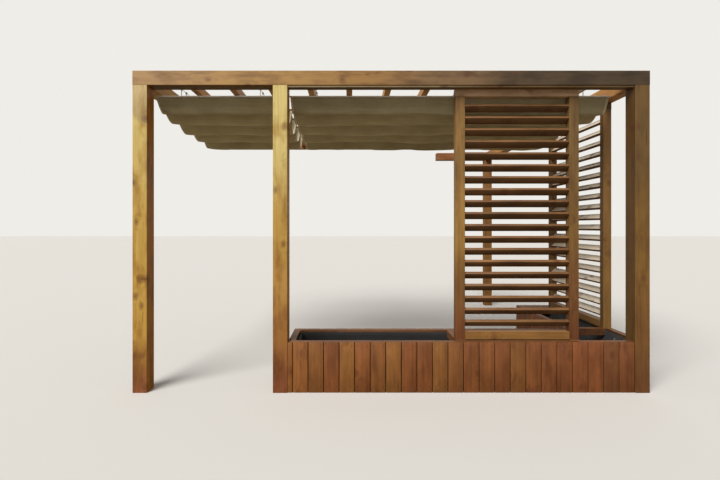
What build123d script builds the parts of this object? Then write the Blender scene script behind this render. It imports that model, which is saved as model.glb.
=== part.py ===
"""A timber pergola round the corner of two walls, with louvre screens, an L-shaped planter and two canopies.

Millimetres. +X runs along the front to the right, +Y runs back to the wall, +Z is up. The origin is on the
ground, in the middle of the frame's plan. The roof ends at a plate on the wall behind it, and the right beam
runs on past the corner of the walls to a rear beam and post.
"""
import os
from math import floor

from build123d import *

# The frame, from outer face to outer face
width = 4815
depth = 4200
height = 3000
post_side = 135             # the posts are square
beam_side = 135             # the beams are as wide and as deep as the posts
middle_post_from_left = 1306.5  # outer left face to the middle post's left face
arris = 3                   # planed edge along every timber
wall_from_front = 3060      # front plane to the wall that the plate is fixed to
wall_plate_thick = 60
rear_beam_length = 1080     # from the side wall to the outer right face

# The rafters
rafter_wide = 60
rafter_deep = 85
rafter_count = 11

# The batten under the front beam, right of the middle post
batten_wide = 62
batten_thick = 14
batten_setback = 15         # from the front face of the beam

# The planter
planter_height = 470
planter_width = 500         # across either leg, over the boards
planter_side_reach = 1750   # front plane to the end of the side leg
board_wide = 140
board_gap = 5
ripped_least = 12           # a narrower rest stays open as a joint
board_thick = 20
board_setback = 5           # behind the faces of the posts
corner_stud = 60
rail_thick = 45
rail_deep = 70
rail_lift = 20              # ground to the lower rails
floor_thick = 20
floor_split = 2             # joint between the two floor panels

# The louvre screens
screen_from_post = 473.5    # front screen's right edge to the corner post
front_screen_length = 1175
front_screen_setback = 90   # behind the front plane
front_screen_thick = 70
front_stile_wide = 90
side_screen_setback = 500
side_screen_length = 1150
side_screen_thick = 85
side_stile_wide = 60
screen_rail_deep = 75
slat_wide = 68
slat_thick = 28
slat_tilt = 45
slat_pitch = 114.5
slat_first_drop = 106       # top rail's underside to the middle of the first slat
slat_last_rise = 60         # the least height of a slat's middle over the bottom rail
slat_arris = 2

# The canopies and what they hang from
canopy_left_clear = 134     # outer left face to the left canopy's edge
canopy_right_clear = 271.5  # right canopy's edge to the outer right face
canopy_past_post = 2        # middle post's right face to the right canopy's edge
canopy_gap = 42             # between the two canopies
cloth_thick = 8             # upright thickness of the pleated solid
belly_share = 0.6           # part of a pleat's width that is round
belly_round = 0.53          # rise of that round stretch against half its width
rod_from_front = [172, 285, 590, 950, 1320, 1560]
pleat_drop = [157, 198, 223, 227, 258]
front_rod_radius = 8
rod_radius = 6
rod_overhang = 16           # past the cloth at either end
rod_below_beam = 43         # underside of the beams to the top of the rods
wire_radius = 2.5
wire_above_beam = 20        # underside of the beams to the middle of the wires
wire_inset = 250            # canopy's edge to the nearest wire
hanger_wide = 10            # the flat strap from a rod up to its block
hanger_thick = 3
slider_side = 14            # the block on the wire, across
slider_long = 22            # and along the wire
seat = 0.3                  # gap where round pieces meet
cloth_seat = 0.6            # gap between the cloth and its rods

# Places that follow from the sizes above
left = -width / 2
right = width / 2
front = -depth / 2
back = depth / 2
beam_low = height - beam_side
middle_left = left + middle_post_from_left
middle_right = middle_left + post_side
corner_left = right - post_side
board_front = front + board_setback
trough_front = board_front + board_thick
trough_back = board_front + planter_width - board_thick
planter_back = board_front + planter_width
board_right = right - board_setback
trough_right = board_right - board_thick
trough_inner = board_right - planter_width + board_thick
planter_inner = board_right - planter_width
planter_end = front + planter_side_reach
trough_end = planter_end - board_thick
trough_left = middle_right + board_thick
wall_face = front + wall_from_front
plate_front = wall_face - wall_plate_thick
rear_beam_front = back - beam_side
rear_beam_left = right - rear_beam_length

parts = {}


def block(x, y, z):
    """A plain box between two values on each axis."""
    size = (x[1] - x[0], y[1] - y[0], z[1] - z[0])
    middle = ((x[0] + x[1]) / 2, (y[0] + y[1]) / 2, (z[0] + z[1]) / 2)
    return Pos(*middle) * Box(*size)


def timber(x, y, z, edge=arris):
    """A sawn timber with the four edges along its length planed off."""
    spans = {Axis.X: x[1] - x[0], Axis.Y: y[1] - y[0], Axis.Z: z[1] - z[0]}
    along = max(spans, key=spans.get)
    solid = block(x, y, z)
    return chamfer(solid.edges().filter_by(along), edge)


def post(x, y):
    return timber((x, x + post_side), (y, y + post_side), (0, beam_low))


def make_posts():
    parts["post_front_left"] = post(left, front)
    parts["post_front_middle"] = post(middle_left, front)
    parts["post_front_right"] = post(corner_left, front)
    parts["post_rear_right"] = post(corner_left, back - post_side)


def make_beams():
    level = (beam_low, height)
    behind_front = front + beam_side
    parts["beam_front"] = timber((left, right), (front, behind_front), level)
    parts["beam_left"] = timber((left, left + beam_side), (behind_front, plate_front), level)
    parts["beam_right"] = timber((right - beam_side, right), (behind_front, rear_beam_front), level)
    parts["wall_plate"] = timber((left, right - beam_side), (plate_front, wall_face), level)
    parts["beam_rear"] = timber((rear_beam_left, right), (rear_beam_front, back), level)


def make_rafters():
    """The rafters hang between the beams, with their tops level with them."""
    first = left + beam_side / 2
    step = (width - beam_side) / (rafter_count + 1)
    level = (height - rafter_deep, height)
    for number in range(1, rafter_count + 1):
        middle = first + number * step
        sides = (middle - rafter_wide / 2, middle + rafter_wide / 2)
        run = (front + beam_side, plate_front)
        parts[f"rafter_{number:02d}"] = timber(sides, run, level)


def make_batten():
    run = (middle_right, corner_left)
    across = (front + batten_setback, front + batten_setback + batten_wide)
    parts["head_batten"] = block(run, across, (beam_low - batten_thick, beam_low))


def board_row(start, end):
    """Low and high edge of each board: whole boards from the end back, and one ripped to fit at the start."""
    edges = []
    high = end - board_gap
    while high - board_wide > start:
        edges.append((high - board_wide, high))
        high -= board_wide + board_gap
    if high - start > ripped_least:
        edges.append((start, high))
    return edges


def boards_along_x(start, end, y):
    return [block(run, (y, y + board_thick), (0, planter_height)) for run in board_row(start, end)]


def boards_along_y(start, end, x):
    return [block((x, x + board_thick), run, (0, planter_height)) for run in board_row(start, end)]


def make_planter_boards():
    behind_post = front + post_side
    parts["planter_front_boards"] = boards_along_x(middle_right, corner_left, board_front)
    parts["planter_back_boards"] = boards_along_x(trough_left, trough_inner, trough_back)
    parts["planter_left_boards"] = boards_along_y(behind_post, planter_back, middle_right)
    parts["planter_outer_boards"] = boards_along_y(behind_post, planter_end, trough_right)
    parts["planter_inner_boards"] = boards_along_y(planter_back, planter_end, planter_inner)
    parts["planter_rear_boards"] = boards_along_x(trough_inner, trough_right, trough_end)


def stud_places():
    """Low corner in plan of each stud that the rails run between."""
    inner_corner = trough_inner - corner_stud / 2
    return [
        (trough_left, trough_front),
        (corner_left - corner_stud, trough_front),
        (trough_right - corner_stud, front + post_side),
        (trough_right - corner_stud, trough_end - corner_stud),
        (trough_inner, trough_end - corner_stud),
        (inner_corner, trough_back - corner_stud),
        (trough_left, trough_back - corner_stud),
    ]


def make_planter_frame():
    studs = []
    for x, y in stud_places():
        studs.append(block((x, x + corner_stud), (y, y + corner_stud), (0, planter_height)))
    parts["planter_studs"] = studs

    after_left = trough_left + corner_stud
    before_end = trough_end - corner_stud
    front_run = (after_left, corner_left - corner_stud)
    back_run = (after_left, trough_inner - corner_stud / 2)
    left_run = (trough_front + corner_stud, trough_back - corner_stud)
    outer_run = (front + post_side + corner_stud, before_end)
    rear_run = (trough_inner + corner_stud, trough_right - corner_stud)
    rails = []
    for low in (rail_lift, planter_height - rail_deep):
        level = (low, low + rail_deep)
        rails.append(block(front_run, (trough_front, trough_front + rail_thick), level))
        rails.append(block(back_run, (trough_back - rail_thick, trough_back), level))
        rails.append(block((trough_left, trough_left + rail_thick), left_run, level))
        rails.append(block((trough_right - rail_thick, trough_right), outer_run, level))
        rails.append(block((trough_inner, trough_inner + rail_thick), (trough_back, before_end), level))
        rails.append(block(rear_run, (trough_end - rail_thick, trough_end), level))
    parts["planter_rails"] = rails


def make_planter_floor():
    """Two panels on the lower rails, cut round the studs."""
    low = rail_lift + rail_deep
    level = (low, low + floor_thick)
    panels = [
        block((trough_left, trough_inner), (trough_front, trough_back), level),
        block((trough_inner + floor_split, trough_right), (trough_front, trough_end), level),
    ]
    cuts = [block((corner_left, right), (front, front + post_side), level)]
    cuts += parts["planter_studs"]
    for number, panel in enumerate(panels):
        for cut in cuts:
            panel = panel - cut
        panels[number] = panel
    parts["planter_floor"] = panels


def front_screen_edges():
    """Left and right edge of the front screen."""
    edge = corner_left - screen_from_post
    return edge - front_screen_length, edge


def side_screen_edges():
    """Front and rear edge of the side screen."""
    edge = front + side_screen_setback
    return edge, edge + side_screen_length


def side_screen_faces():
    """Inner and outer face of the side screen, which is centred under its beam."""
    middle = right - beam_side / 2
    return middle - side_screen_thick / 2, middle + side_screen_thick / 2


def make_planter_ties():
    """A tie across the trough carries the foot of each stile."""
    level = (planter_height - rail_deep, planter_height)
    ties = []
    low, high = front_screen_edges()
    across = (trough_front + rail_thick, trough_back - rail_thick)
    for start in (low, high - front_stile_wide):
        ties.append(block((start, start + front_stile_wide), across, level))
    low, high = side_screen_edges()
    across = (trough_inner + rail_thick, trough_right - rail_thick)
    for start in (low, high - side_stile_wide):
        ties.append(block(across, (start, start + side_stile_wide), level))
    parts["planter_ties"] = ties


def slat_levels():
    """Height of each slat's middle, from the top down."""
    first = beam_low - screen_rail_deep - slat_first_drop
    last = planter_height + screen_rail_deep + slat_last_rise
    count = floor((first - last) / slat_pitch) + 1
    return [first - i * slat_pitch for i in range(count)]


def slat(length):
    """One slat along X, with its outer edge turned up by the tilt."""
    solid = chamfer(Box(length, slat_wide, slat_thick).edges().filter_by(Axis.X), slat_arris)
    return Rot(-slat_tilt, 0, 0) * solid


def make_front_screen():
    low, high = front_screen_edges()
    face = front + front_screen_setback
    across = (face, face + front_screen_thick)
    foot = planter_height
    head = beam_low - screen_rail_deep
    inner = (low + front_stile_wide, high - front_stile_wide)
    parts["front_screen_left_stile"] = timber((low, inner[0]), across, (foot, head))
    parts["front_screen_right_stile"] = timber((inner[1], high), across, (foot, head))
    parts["front_screen_top_rail"] = timber((low, high), across, (head, beam_low))
    parts["front_screen_bottom_rail"] = timber(inner, across, (foot, foot + screen_rail_deep))
    middle = (inner[0] + inner[1]) / 2
    blade = slat(inner[1] - inner[0])
    slats = []
    for level in slat_levels():
        slats.append(Pos(middle, face + front_screen_thick / 2, level) * blade)
    parts["front_screen_slats"] = slats


def make_side_screen():
    low, high = side_screen_edges()
    across = side_screen_faces()
    foot = planter_height
    head = beam_low - screen_rail_deep
    inner = (low + side_stile_wide, high - side_stile_wide)
    parts["side_screen_front_stile"] = timber(across, (low, inner[0]), (foot, head))
    parts["side_screen_rear_stile"] = timber(across, (inner[1], high), (foot, head))
    parts["side_screen_top_rail"] = timber(across, (low, high), (head, beam_low))
    parts["side_screen_bottom_rail"] = timber(across, inner, (foot, foot + screen_rail_deep))
    middle = (inner[0] + inner[1]) / 2
    blade = Rot(0, 0, 90) * slat(inner[1] - inner[0])
    slats = []
    for level in slat_levels():
        slats.append(Pos(right - beam_side / 2, middle, level) * blade)
    parts["side_screen_slats"] = slats


def pleat_line(level):
    """Edges of the cloth's line in the plane X = 0: a straight flank, a round belly and a flank per pleat."""
    edges = []
    for number, drop in enumerate(pleat_drop):
        start = front + rod_from_front[number]
        end = front + rod_from_front[number + 1]
        middle = (start + end) / 2
        shoulder = belly_share * (end - start) / 2
        low = level - drop
        raised = low + belly_round * shoulder
        points = [
            Vector(0, start, level),
            Vector(0, middle - shoulder, raised),
            Vector(0, middle, low),
            Vector(0, middle + shoulder, raised),
            Vector(0, end, level),
        ]
        edges.append(Line(points[0], points[1]))
        edges.append(ThreePointArc(points[1], points[2], points[3]))
        edges.append(Line(points[3], points[4]))
    return edges


def make_canopy(name, start, end):
    """Pleated cloth under its rods."""
    length = end - start
    rod_top = beam_low - rod_below_beam
    crest = rod_top - 2 * front_rod_radius - cloth_seat
    upper = pleat_line(crest)
    lower = pleat_line(crest - cloth_thick)
    ends = [Line(upper[0] @ 0, lower[0] @ 0), Line(upper[-1] @ 1, lower[-1] @ 1)]
    cloth = extrude(make_face(upper + lower + ends), amount=length, dir=(1, 0, 0))
    parts[name] = Pos(start, 0, 0) * cloth

    rods = []
    for number, place in enumerate(rod_from_front):
        radius = front_rod_radius if number == 0 else rod_radius
        y = front + place
        z = crest + cloth_seat + radius
        rods.append(Pos(start + length / 2, y, z) * Rot(0, 90, 0) * Cylinder(radius, length + 2 * rod_overhang))
        for x in (start + wire_inset, end - wire_inset):
            parts["canopy_hangers"].append(hanger(x, y, z + radius + seat))
    parts[f"{name}_rods"] = rods


def hanger(x, y, foot):
    """A flat strap up from a rod, with a block that slides on the wire."""
    level = beam_low + wire_above_beam
    slider_low = level - slider_side / 2
    slider = block((x - slider_side / 2, x + slider_side / 2), (y - slider_long / 2, y + slider_long / 2),
                   (slider_low, slider_low + slider_side))
    bore = Pos(x, y, level) * Rot(90, 0, 0) * Cylinder(wire_radius + seat, slider_long)
    strap = block((x - hanger_thick / 2, x + hanger_thick / 2), (y - hanger_wide / 2, y + hanger_wide / 2),
                  (foot, slider_low))
    return slider - bore + strap


def make_canopies():
    right_start = middle_right + canopy_past_post
    spans = [
        ("canopy_left", left + canopy_left_clear, right_start - canopy_gap),
        ("canopy_right", right_start, right - canopy_right_clear),
    ]
    z = beam_low + wire_above_beam
    wires = []
    parts["canopy_hangers"] = []
    for name, start, end in spans:
        make_canopy(name, start, end)
        for x in (start + wire_inset, end - wire_inset):
            run = plate_front - front - beam_side
            wire = Rot(90, 0, 0) * Cylinder(wire_radius, run)
            wires.append(Pos(x, front + beam_side + run / 2, z) * wire)
    parts["canopy_wires"] = wires


make_posts()
make_beams()
make_rafters()
make_batten()
make_planter_boards()
make_planter_frame()
make_planter_floor()
make_planter_ties()
make_front_screen()
make_side_screen()
make_canopies()

os.makedirs("parts", exist_ok=True)
for name, shape in parts.items():
    if isinstance(shape, list):
        shape = Compound(children=shape)
    export_step(shape, f"parts/{name}.step")
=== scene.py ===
# %% [markdown]
# A timber pergola that stands in front of a wall. Four square posts carry beams, eleven rafters run back
# from the front beam, two cloth canopies hang in pleats below them, and louvre screens stand on an
# L-shaped planter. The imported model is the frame: its pieces stay where they are and get their finish
# here. Slats, boards and cloth are made again in finer detail, each in the place of the plain solid that
# it stands for. Fixings and a liner are added.

# %% Load the frame
import math

import bpy
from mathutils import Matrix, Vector, noise


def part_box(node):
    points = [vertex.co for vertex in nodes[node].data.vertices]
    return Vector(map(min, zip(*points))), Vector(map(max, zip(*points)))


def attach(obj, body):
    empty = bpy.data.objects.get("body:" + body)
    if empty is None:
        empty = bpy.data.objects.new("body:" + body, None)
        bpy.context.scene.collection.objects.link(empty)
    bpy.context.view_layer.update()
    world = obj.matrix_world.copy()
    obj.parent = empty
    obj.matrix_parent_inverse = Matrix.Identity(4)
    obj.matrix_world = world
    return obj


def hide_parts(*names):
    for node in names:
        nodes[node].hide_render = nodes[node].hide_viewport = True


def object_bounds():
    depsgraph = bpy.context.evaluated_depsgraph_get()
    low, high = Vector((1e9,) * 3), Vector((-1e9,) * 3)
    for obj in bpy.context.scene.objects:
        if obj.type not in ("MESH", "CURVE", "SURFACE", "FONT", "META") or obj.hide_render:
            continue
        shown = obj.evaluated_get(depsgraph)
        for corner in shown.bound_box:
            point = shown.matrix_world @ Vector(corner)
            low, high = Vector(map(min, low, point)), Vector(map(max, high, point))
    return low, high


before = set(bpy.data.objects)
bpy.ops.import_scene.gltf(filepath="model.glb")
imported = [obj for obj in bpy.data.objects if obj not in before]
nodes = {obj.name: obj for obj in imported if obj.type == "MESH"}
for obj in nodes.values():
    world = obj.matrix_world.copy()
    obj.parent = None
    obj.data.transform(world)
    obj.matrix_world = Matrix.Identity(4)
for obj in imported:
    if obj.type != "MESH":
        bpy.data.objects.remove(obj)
cad_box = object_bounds()
scene = bpy.context.scene
print("frame", [round(v, 3) for v in cad_box[0]], "to", [round(v, 3) for v in cad_box[1]])

# %% [markdown]
# A few helpers carry the rest. Colours are picked as sRGB hex values, and shaders work in linear light,
# so one function turns the one into the other. A node tree is a list of nodes with settings and links,
# so one function adds a node, sets what is plain and links what is a socket. It serves materials and
# Geometry Nodes alike.

# %% Helpers for colours and nodes
VECTOR_MATH = "ShaderNodeVectorMath"
NOISE = "ShaderNodeTexNoise"
MIX = "ShaderNodeMix"
MIXED_COLOUR = 2  # the colour output of a Mix node


def colour(hex_value):
    """sRGB hex, such as #CDAA5C, as linear red, green, blue and full alpha."""
    shares = [int(hex_value[i:i + 2], 16) / 255 for i in (1, 3, 5)]
    return [v / 12.92 if v <= 0.04045 else ((v + 0.055) / 1.055) ** 2.4 for v in shares] + [1.0]


def feed(tree, node, inputs):
    """Inputs go by place or name: a socket or node is linked, any other value is set."""
    pairs = inputs.items() if isinstance(inputs, dict) else enumerate(inputs)
    for key, value in pairs:
        if isinstance(value, bpy.types.Node):
            value = value.outputs[0]
        if isinstance(value, bpy.types.NodeSocket):
            tree.links.new(value, node.inputs[key])
        else:
            node.inputs[key].default_value = value


def add(tree, kind, inputs=(), **settings):
    """Adds a node with its settings and its inputs."""
    node = tree.nodes.new(kind)
    for name, value in settings.items():
        setattr(node, name, value)
    feed(tree, node, inputs)
    return node


def calc(tree, operation, *values, **settings):
    return add(tree, "ShaderNodeMath", values, operation=operation, **settings)


def vector(tree, operation, *values):
    return add(tree, VECTOR_MATH, values, operation=operation)


def scaled(tree, values, factor):
    return add(tree, VECTOR_MATH, {0: values, "Scale": factor}, operation="SCALE")


def remap(tree, value, start, end, first=0, last=1, **settings):
    """Runs from first to last while the value runs from start to end, and stays level outside."""
    return add(tree, "ShaderNodeMapRange", [value, start, end, first, last], **settings)


def mixed(tree, share, first, second):
    """The first colour with a share of the second."""
    return add(tree, MIX, {0: share, 6: first, 7: second}, data_type="RGBA").outputs[MIXED_COLOUR]


def new_material(name):
    material = bpy.data.materials.new(name)
    material.use_nodes = True
    return material, material.node_tree, material.node_tree.nodes["Principled BSDF"]


def show(name, data):
    """Adds an object to the scene."""
    piece = bpy.data.objects.new(name, data)
    scene.collection.objects.link(piece)
    return piece


def dress(names, material):
    """Gives pieces of the frame one finish."""
    for name in names:
        nodes[name].data.materials.clear()
        nodes[name].data.materials.append(material)


# %% [markdown]
# The photograph was taken at eye level, with the camera held level, so every post is upright in it. Such
# a view is one camera that looks straight along +Y, with its sensor shifted a little sideways and down.
# A wide lens close to the front gives the strong perspective of the roof and the screens.

# %% Camera
PHOTO_WIDTH = 720  # pixels
VANISHING_RIGHT = -10  # pixels from the middle of the picture to the vanishing point
VANISHING_UP = 13
SENSOR_WIDTH = 36  # mm
LENS = 19.6  # mm
CAMERA_PLACE = (-0.383, -5.746, 1.544)

camera_data = bpy.data.cameras.new("camera")
camera_data.sensor_width = SENSOR_WIDTH
camera_data.lens = LENS
camera_data.shift_x = -VANISHING_RIGHT / PHOTO_WIDTH
camera_data.shift_y = -VANISHING_UP / PHOTO_WIDTH
camera = show("camera", camera_data)
camera.location = CAMERA_PLACE
camera.rotation_euler = (math.radians(90), 0, 0)
scene.camera = camera
scene.view_settings.view_transform = "Standard"

# %% [markdown]
# A plain pale floor and soft light let the wood be judged by itself. One broad sun from the front left
# gives the posts a lit face and a darker side, and the world fills the shadows. The camera, gloss and
# glass see a plain pale backdrop, so the background stays pale without more light on the timber. The
# floor looks as pale to the camera, and to the light that bounces off it, it is as dark and warm as
# stone paving, so that undersides stay dark.

# %% Floor, backdrop and light
BACKDROP = "#EFEDE8"
FLOOR = "#CCC8C1"
FLOOR_REACH = 60  # metres from the middle to each edge
PAVING = "#7A6A52"  # what the floor is to light that bounces off it
SUN_HEIGHT = 48  # degrees above the ground
SUN_LEFT = 35  # degrees left of straight ahead
SUN_STRENGTH = 3.8
SUN_SIZE = 34  # degrees across, so that its shadows are soft
SKY_STRENGTH = 0.36


def make_floor():
    mesh = bpy.data.meshes.new("floor")
    corners = [(x * FLOOR_REACH, y * FLOOR_REACH, 0) for x, y in ((-1, -1), (1, -1), (1, 1), (-1, 1))]
    mesh.from_pydata(corners, [], [(0, 1, 2, 3)])
    floor = show("floor", mesh)
    material, tree, shader = new_material("matt studio floor")
    seen = add(tree, "ShaderNodeLightPath").outputs["Is Camera Ray"]
    base = mixed(tree, seen, colour(PAVING), colour(FLOOR))
    feed(tree, shader, {"Base Color": base, "Roughness": 0.9})
    mesh.materials.append(material)


def make_light():
    side, up = math.radians(SUN_LEFT), math.radians(SUN_HEIGHT)
    towards = Vector((-math.sin(side) * math.cos(up), -math.cos(side) * math.cos(up), math.sin(up)))
    data = bpy.data.lights.new("sun", "SUN")
    data.energy = SUN_STRENGTH
    data.angle = math.radians(SUN_SIZE)
    show("sun", data).rotation_euler = towards.to_track_quat("Z", "Y").to_euler()

    world = bpy.data.worlds.new("studio")
    scene.world = world
    world.use_nodes = True
    tree = world.node_tree
    tree.nodes.clear()
    ray = add(tree, "ShaderNodeLightPath").outputs
    seen = calc(tree, "MAXIMUM", ray["Is Camera Ray"], ray["Is Glossy Ray"])
    seen = calc(tree, "MAXIMUM", seen, ray["Is Transmission Ray"])
    fill = add(tree, "ShaderNodeBackground", [colour("#FFFFFF"), SKY_STRENGTH])
    shown = add(tree, "ShaderNodeBackground", [colour(BACKDROP), 1.0])
    both = add(tree, "ShaderNodeMixShader", [seen, fill, shown])
    add(tree, "ShaderNodeOutputWorld", [both])


make_floor()
make_light()

# %% [markdown]
# Pine shows growth rings as wavy lines along the timber. The wood between them is pale early wood, and
# the lines are dark late wood. A flat picture cannot follow every timber, so the lines come from a noise
# field that is drawn out along the grain: its contour lines bend, close and part as sawn pine does. The
# real rings are 3 to 6 mm apart, too fine for this view, and are drawn about 20 mm apart.
#
# A knot is the foot of a branch, which ran from the middle of the tree to its bark. So each cell of a
# cell pattern holds one branch, a straight line that lies across the grain and points its own way. A
# timber's face shows a round knot where a branch comes out of it. The branch lifts the noise field, so
# that the lines flow round the knot.

# %% The figure of pine, as a node group
GRAIN_STRETCH = 0.045  # how much slower the figure changes along the timber than across it
HILLS_PER_METRE = 5
RINGS_PER_HILL = 10
KNOT_CELL = (0.2, 0.2, 0.45)
KNOT_CORE = 0.008  # radius of the dark middle
KNOT_HALO = 0.034  # radius of the redder wood round it
KNOT_PULL = 0.07  # how far from a knot's middle the lines bend
KNOT_LIFT = 0.11  # how high a branch lifts the noise field
HALO_DEPTH = 0.6  # how much of a knot's darkness the redder wood has
BRANCH_FADE = (0.1, 1, 0.6)  # how fast a branch ends along itself, across it and along the grain
BRANCH_TURN = 12  # radians that a cell's own number turns its branch
FIBRES_PER_METRE = 60  # the widest ones; finer noise divides them further
PATCHES_PER_METRE = 9
RING_SPACING = 0.006  # on end grain, as on the real wood


def make_branches(tree, place):
    """How far a place is from the nearest branch, and its offset to that branch's own point."""
    in_cells = vector(tree, "DIVIDE", place, KNOT_CELL)
    cells = add(tree, "ShaderNodeTexVoronoi", {"Vector": in_cells, "Scale": 1})
    away = vector(tree, "SUBTRACT", cells.outputs["Position"], in_cells)
    away = vector(tree, "MULTIPLY", away, KNOT_CELL)
    heading = calc(tree, "MULTIPLY", cells.outputs["Color"], BRANCH_TURN)
    turn = {"Vector": away, "Angle": heading}
    turned = add(tree, "ShaderNodeVectorRotate", turn, rotation_type="Z_AXIS")
    across = vector(tree, "MULTIPLY", turned, BRANCH_FADE)
    return vector(tree, "LENGTH", across).outputs["Value"], away


def make_pine_figure():
    """Takes a place in metres whose Z runs along the timber."""
    tree = bpy.data.node_groups.new("pine figure", "ShaderNodeTree")
    tree.interface.new_socket("Place", in_out="INPUT", socket_type="NodeSocketVector")
    for name in ("Grain", "Fibre", "Blotch", "Knot", "Check", "Rings", "Height"):
        tree.interface.new_socket(name, in_out="OUTPUT", socket_type="NodeSocketFloat")
    place = add(tree, "NodeGroupInput")

    gap, away = make_branches(tree, place)
    core = remap(tree, gap, 0.6 * KNOT_CORE, KNOT_CORE, 1, 0, interpolation_type="SMOOTHSTEP")
    halo = remap(tree, gap, KNOT_CORE, KNOT_HALO, HALO_DEPTH, 0, interpolation_type="SMOOTHSTEP")
    knot = calc(tree, "MAXIMUM", core, halo)
    lift = remap(tree, gap, 0, KNOT_PULL, KNOT_LIFT, 0, interpolation_type="SMOOTHERSTEP")

    drawn = vector(tree, "MULTIPLY", place, (1, 1, GRAIN_STRETCH))
    hills = add(tree, NOISE, {"Vector": drawn, "Scale": HILLS_PER_METRE, "Detail": 1, "Roughness": 0.35})
    lifted = calc(tree, "ADD", hills, lift)
    turns = calc(tree, "MULTIPLY", lifted, 2 * math.pi * RINGS_PER_HILL)
    wave = calc(tree, "SINE", turns)
    late = remap(tree, wave, -0.6, 1)
    grain = calc(tree, "POWER", late, 1.8)

    # Fibre streaks, from 16 mm down to 2 mm wide, and soft patches where the oil has soaked in
    long_fibre = vector(tree, "MULTIPLY", place, (1, 1, 0.03))
    fibre = {"Vector": long_fibre, "Scale": FIBRES_PER_METRE, "Detail": 3, "Roughness": 0.6}
    fibre = add(tree, NOISE, fibre)
    soft = vector(tree, "MULTIPLY", place, (1, 1, 0.35))
    blotch = add(tree, NOISE, {"Vector": soft, "Scale": PATCHES_PER_METRE, "Detail": 3, "Roughness": 0.6})

    # Drying checks, thin cracks that run with the grain
    long_check = vector(tree, "MULTIPLY", place, (1, 1, 0.06))
    strain = add(tree, NOISE, {"Vector": long_check, "Scale": FIBRES_PER_METRE, "Detail": 0})
    check = remap(tree, strain, 0.8, 0.83)

    # Rings on the end grain, round the same point as the branch
    across = vector(tree, "MULTIPLY", away, (1, 1, 0))
    from_pith = vector(tree, "LENGTH", across).outputs["Value"]
    ring_turns = calc(tree, "MULTIPLY", from_pith, 2 * math.pi / RING_SPACING)
    ring_wave = calc(tree, "SINE", ring_turns)
    rings = remap(tree, ring_wave, -1, 1)

    height = calc(tree, "MULTIPLY_ADD", grain, 0.35, fibre)
    height = calc(tree, "MULTIPLY_ADD", check, -1.5, height)
    add(tree, "NodeGroupOutput", [grain, fibre, blotch, knot, check, rings, height])
    return tree


pine_figure = make_pine_figure()
print("pine figure:", len(pine_figure.nodes), "nodes")

# %% [markdown]
# One function dresses that figure in the colours of a timber. The grain runs along X, Y or Z, so the
# place is turned until its Z lies along the timber. The two colours of the wood fade from stop to stop
# along one axis, and the patches push the stops to and fro. Some fades follow the stain, which has worn
# and soaked in unevenly, and some are painted shade. Faces that look one way can take a pair of colours
# of their own: painted light on the tops of the side slats, painted shade elsewhere. Boards and slats
# carry a number of their own in an attribute. It moves them to another part of the figure, makes them a
# little darker and lets some lean to a cousin's colours, as neighbours from different planks do. The
# pine is oiled: it keeps a dull sheen and no wet gloss.

# %% Oiled pine
TURN_TO_GRAIN = {"X": (0, math.radians(90), 0), "Y": (math.radians(90), 0, 0), "Z": (0, 0, 0)}
BOARD_SHIFT = (7.3, 5.9, 11.7)  # metres that a board's number of 1 moves it through the figure
BOARD_TONE = 0.26  # how much darker than the lightest board the darkest is
BOARD_SHUFFLE = 17.3  # makes a second number out of a board's first
STOP_WANDER = 0.3  # metres that patches push the stops to and fro
EVEN = (0.35, 0.7, 0.6)  # where patches start and end in their noise, and how dark the darkest are
PATCHY = (0.45, 0.64, 0.75)
RING_SHARE = 0.2  # of the way from light to dark
STREAK_SHARE = 0.28
KNOT_COLOUR = "#5A2E14"
KNOT_SHARE = 0.8  # of that colour
CHECK_COLOUR = "#2A170B"
CHECK_SHARE = 0.45
END_GRAIN = (0.8, 0.45)  # how bright, between the rings and on them
OILED_ROUGH = (0.62, 0.5)  # light wood and dark wood
FACING = (0.8, 0.95)  # cosines: a face starts to count as turned a certain way, and counts in full


def faded(tree, spot, stops, which):
    """A timber's light (1) or dark (2) colour. A stop is (metres, light, dark)."""
    if isinstance(stops, tuple):
        return colour(stops[which - 1])
    first, last = stops[0][0], stops[-1][0]
    ramp = add(tree, "ShaderNodeValToRGB", [remap(tree, spot, first, last)])
    ramp.color_ramp.interpolation = "EASE"
    points = ramp.color_ramp.elements
    points[0].color = colour(stops[0][which])
    points[1].color = colour(stops[-1][which])
    for stop in stops[1:-1]:
        points.new((stop[0] - first) / (last - first)).color = colour(stop[which])
    return ramp


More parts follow.
